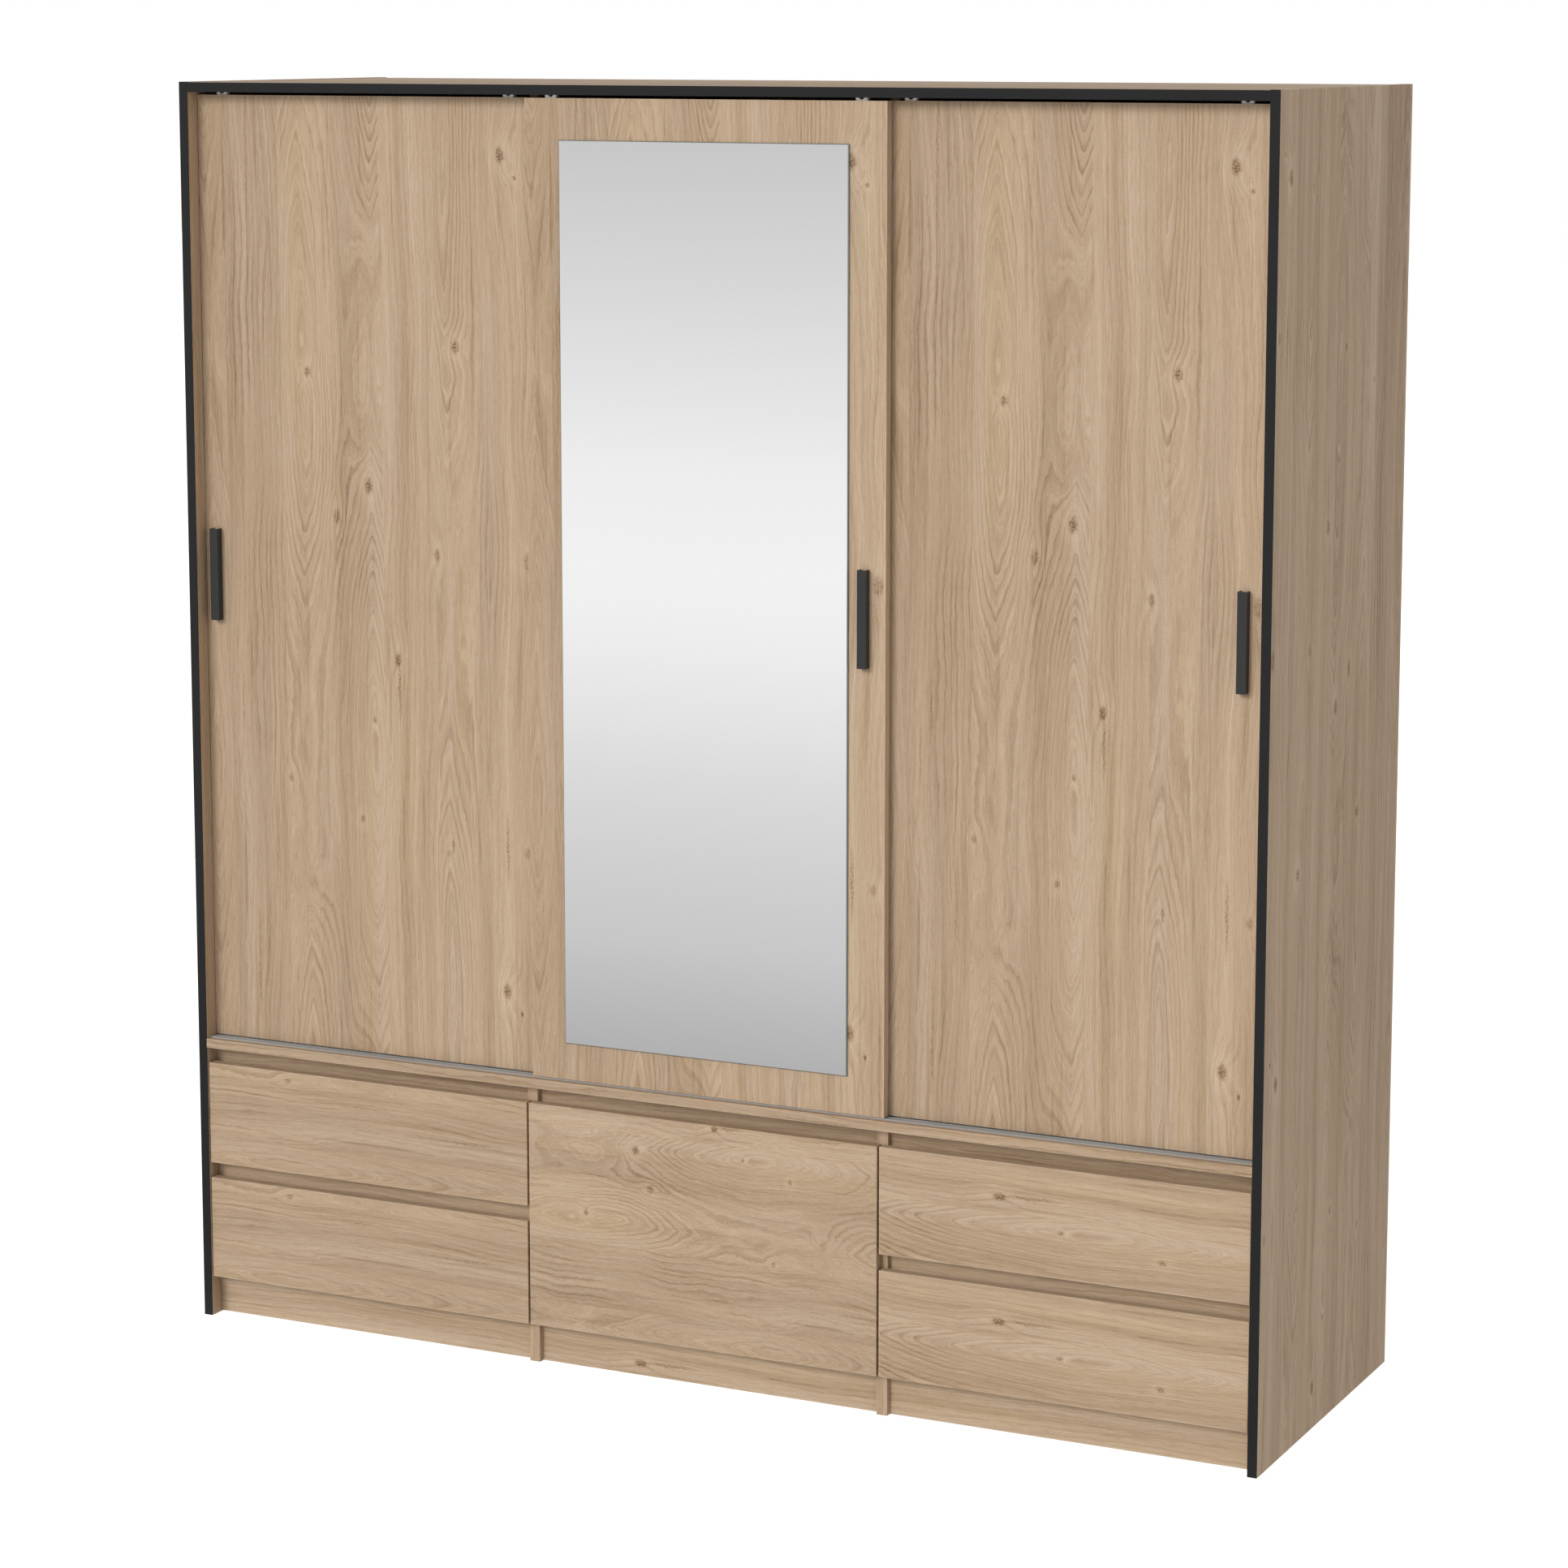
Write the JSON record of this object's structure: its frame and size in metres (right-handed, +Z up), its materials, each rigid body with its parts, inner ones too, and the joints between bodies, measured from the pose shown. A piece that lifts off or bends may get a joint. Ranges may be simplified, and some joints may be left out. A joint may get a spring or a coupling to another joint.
{
  "type": "sliding door wardrobe",
  "caption": "Wide board wardrobe with overlapping sliding doors, a tall mirror on the middle door and a bank of handleless drawers below.",
  "frame": {"origin": "middle of the footprint's bounding box, on the floor", "axes": "+Z up, -Y out of the front (doors and drawers), +X to the right seen from the front"},
  "size_m": [1.82, 0.609, 2.004],
  "materials": {
    "side_decor": "foil printed as oak, vertical grain, satin",
    "door_decor": "foil printed as knotty oak, vertical grain, satin",
    "front_decor": "foil printed as oak, horizontal grain, satin",
    "inner_decor": "foil printed as oak, satin",
    "edge_black": "black edge band, satin",
    "handle_black": "black powder coat",
    "liner_plastic": "extruded plastic, satin",
    "track_metal": "natural anodised extrusion",
    "mirror_glass": "silvered float glass, polished edge",
    "guide_plastic": "moulded white plastic",
    "wheel_plastic": "moulded acetal",
    "back_foil": "thin fibreboard, pale foil",
    "joint_plastic": "extruded plastic strip",
    "fitting_steel": "zinc plated",
    "rail_chrome": "chromed tube",
    "runner_steel": "zinc plated, rolled channel",
    "drawer_foil": "chipboard, pale foil"
  },
  "bodies": {
    "carcass": {"side_panel_left": "side_decor", "side_panel_right": "side_decor", "top_panel": "side_decor", "side_edge_strips": "edge_black", "top_edge_strip": "edge_black", "top_track_liners": "liner_plastic", "long_shelf": "front_decor", "plinths": "front_decor", "recess_rails": "front_decor", "bottom_track": "track_metal", "upper_divider_left": "inner_decor", "upper_divider_right": "inner_decor", "lower_divider_left": "inner_decor", "lower_divider_right": "inner_decor", "bottom_boards": "inner_decor", "inner_shelves": "inner_decor", "back_sheet_left": "back_foil", "back_sheet_middle": "back_foil", "back_sheet_right": "back_foil", "back_joint_strips": "joint_plastic", "shelf_pins": "fitting_steel", "rail_sockets": "fitting_steel", "cam_locks": "fitting_steel", "clothes_rails": "rail_chrome", "runners_fixed": "runner_steel"},
    "door_left": {"door_left_panel": "door_decor", "door_left_handle": "handle_black", "door_left_guides": "guide_plastic", "door_left_housings": "guide_plastic"},
    "door_left_wheel_a": {"door_left_wheel_a": "wheel_plastic"},
    "door_left_wheel_b": {"door_left_wheel_b": "wheel_plastic"},
    "door_middle": {"door_middle_panel": "door_decor", "door_middle_mirror": "mirror_glass", "door_middle_handle": "handle_black", "door_middle_guides": "guide_plastic", "door_middle_housings": "guide_plastic"},
    "door_middle_wheel_a": {"door_middle_wheel_a": "wheel_plastic"},
    "door_middle_wheel_b": {"door_middle_wheel_b": "wheel_plastic"},
    "door_right": {"door_right_panel": "door_decor", "door_right_handle": "handle_black", "door_right_guides": "guide_plastic", "door_right_housings": "guide_plastic"},
    "door_right_wheel_a": {"door_right_wheel_a": "wheel_plastic"},
    "door_right_wheel_b": {"door_right_wheel_b": "wheel_plastic"},
    "drawer_left_upper": {"drawer_left_upper_front": "front_decor", "drawer_left_upper_box": "drawer_foil", "drawer_left_upper_runners": "runner_steel"},
    "drawer_left_lower": {"drawer_left_lower_front": "front_decor", "drawer_left_lower_box": "drawer_foil", "drawer_left_lower_runners": "runner_steel"},
    "drawer_middle": {"drawer_middle_front": "front_decor", "drawer_middle_box": "drawer_foil", "drawer_middle_runners": "runner_steel"},
    "drawer_right_upper": {"drawer_right_upper_front": "front_decor", "drawer_right_upper_box": "drawer_foil", "drawer_right_upper_runners": "runner_steel"},
    "drawer_right_lower": {"drawer_right_lower_front": "front_decor", "drawer_right_lower_box": "drawer_foil", "drawer_right_lower_runners": "runner_steel"}
  },
  "joints": [
    {"name": "door_left_slide", "type": "slide", "parent": "carcass", "child": "door_left", "axis": [1, 0, 0], "range_m": [0, 0.57]},
    {"name": "door_middle_slide", "type": "slide", "parent": "carcass", "child": "door_middle", "axis": [1, 0, 0], "range_m": [-0.57, 0.543]},
    {"name": "door_right_slide", "type": "slide", "parent": "carcass", "child": "door_right", "axis": [1, 0, 0], "range_m": [-0.543, 0]},
    {"name": "drawer_left_upper_slide", "type": "slide", "parent": "carcass", "child": "drawer_left_upper", "axis": [0, -1, 0], "range_m": [0, 0.38]},
    {"name": "drawer_left_lower_slide", "type": "slide", "parent": "carcass", "child": "drawer_left_lower", "axis": [0, -1, 0], "range_m": [0, 0.38]},
    {"name": "drawer_middle_slide", "type": "slide", "parent": "carcass", "child": "drawer_middle", "axis": [0, -1, 0], "range_m": [0, 0.38]},
    {"name": "drawer_right_upper_slide", "type": "slide", "parent": "carcass", "child": "drawer_right_upper", "axis": [0, -1, 0], "range_m": [0, 0.38]},
    {"name": "drawer_right_lower_slide", "type": "slide", "parent": "carcass", "child": "drawer_right_lower", "axis": [0, -1, 0], "range_m": [0, 0.38]},
    {"name": "door_left_wheel_a_spin", "type": "hinge", "parent": "door_left", "child": "door_left_wheel_a", "pos_m": [-0.824, -0.2615, 0.4765], "axis": [0, 1, 0], "continuous": true},
    {"name": "door_left_wheel_b_spin", "type": "hinge", "parent": "door_left", "child": "door_left_wheel_b", "pos_m": [-0.362, -0.2615, 0.4765], "axis": [0, 1, 0], "continuous": true},
    {"name": "door_middle_wheel_a_spin", "type": "hinge", "parent": "door_middle", "child": "door_middle_wheel_a", "pos_m": [-0.2235, -0.2815, 0.4765], "axis": [0, 1, 0], "continuous": true},
    {"name": "door_middle_wheel_b_spin", "type": "hinge", "parent": "door_middle", "child": "door_middle_wheel_b", "pos_m": [0.2385, -0.2815, 0.4765], "axis": [0, 1, 0], "continuous": true},
    {"name": "door_right_wheel_a_spin", "type": "hinge", "parent": "door_right", "child": "door_right_wheel_a", "pos_m": [0.362, -0.2615, 0.4765], "axis": [0, 1, 0], "continuous": true},
    {"name": "door_right_wheel_b_spin", "type": "hinge", "parent": "door_right", "child": "door_right_wheel_b", "pos_m": [0.824, -0.2615, 0.4765], "axis": [0, 1, 0], "continuous": true}
  ],
  "couplings": [
    {"joint": "door_left_wheel_a_spin", "follows": "door_left_slide", "rad_per_m": 100},
    {"joint": "door_left_wheel_b_spin", "follows": "door_left_slide", "rad_per_m": 100},
    {"joint": "door_middle_wheel_a_spin", "follows": "door_middle_slide", "rad_per_m": 100},
    {"joint": "door_middle_wheel_b_spin", "follows": "door_middle_slide", "rad_per_m": 100},
    {"joint": "door_right_wheel_a_spin", "follows": "door_right_slide", "rad_per_m": 100},
    {"joint": "door_right_wheel_b_spin", "follows": "door_right_slide", "rad_per_m": 100}
  ]
}
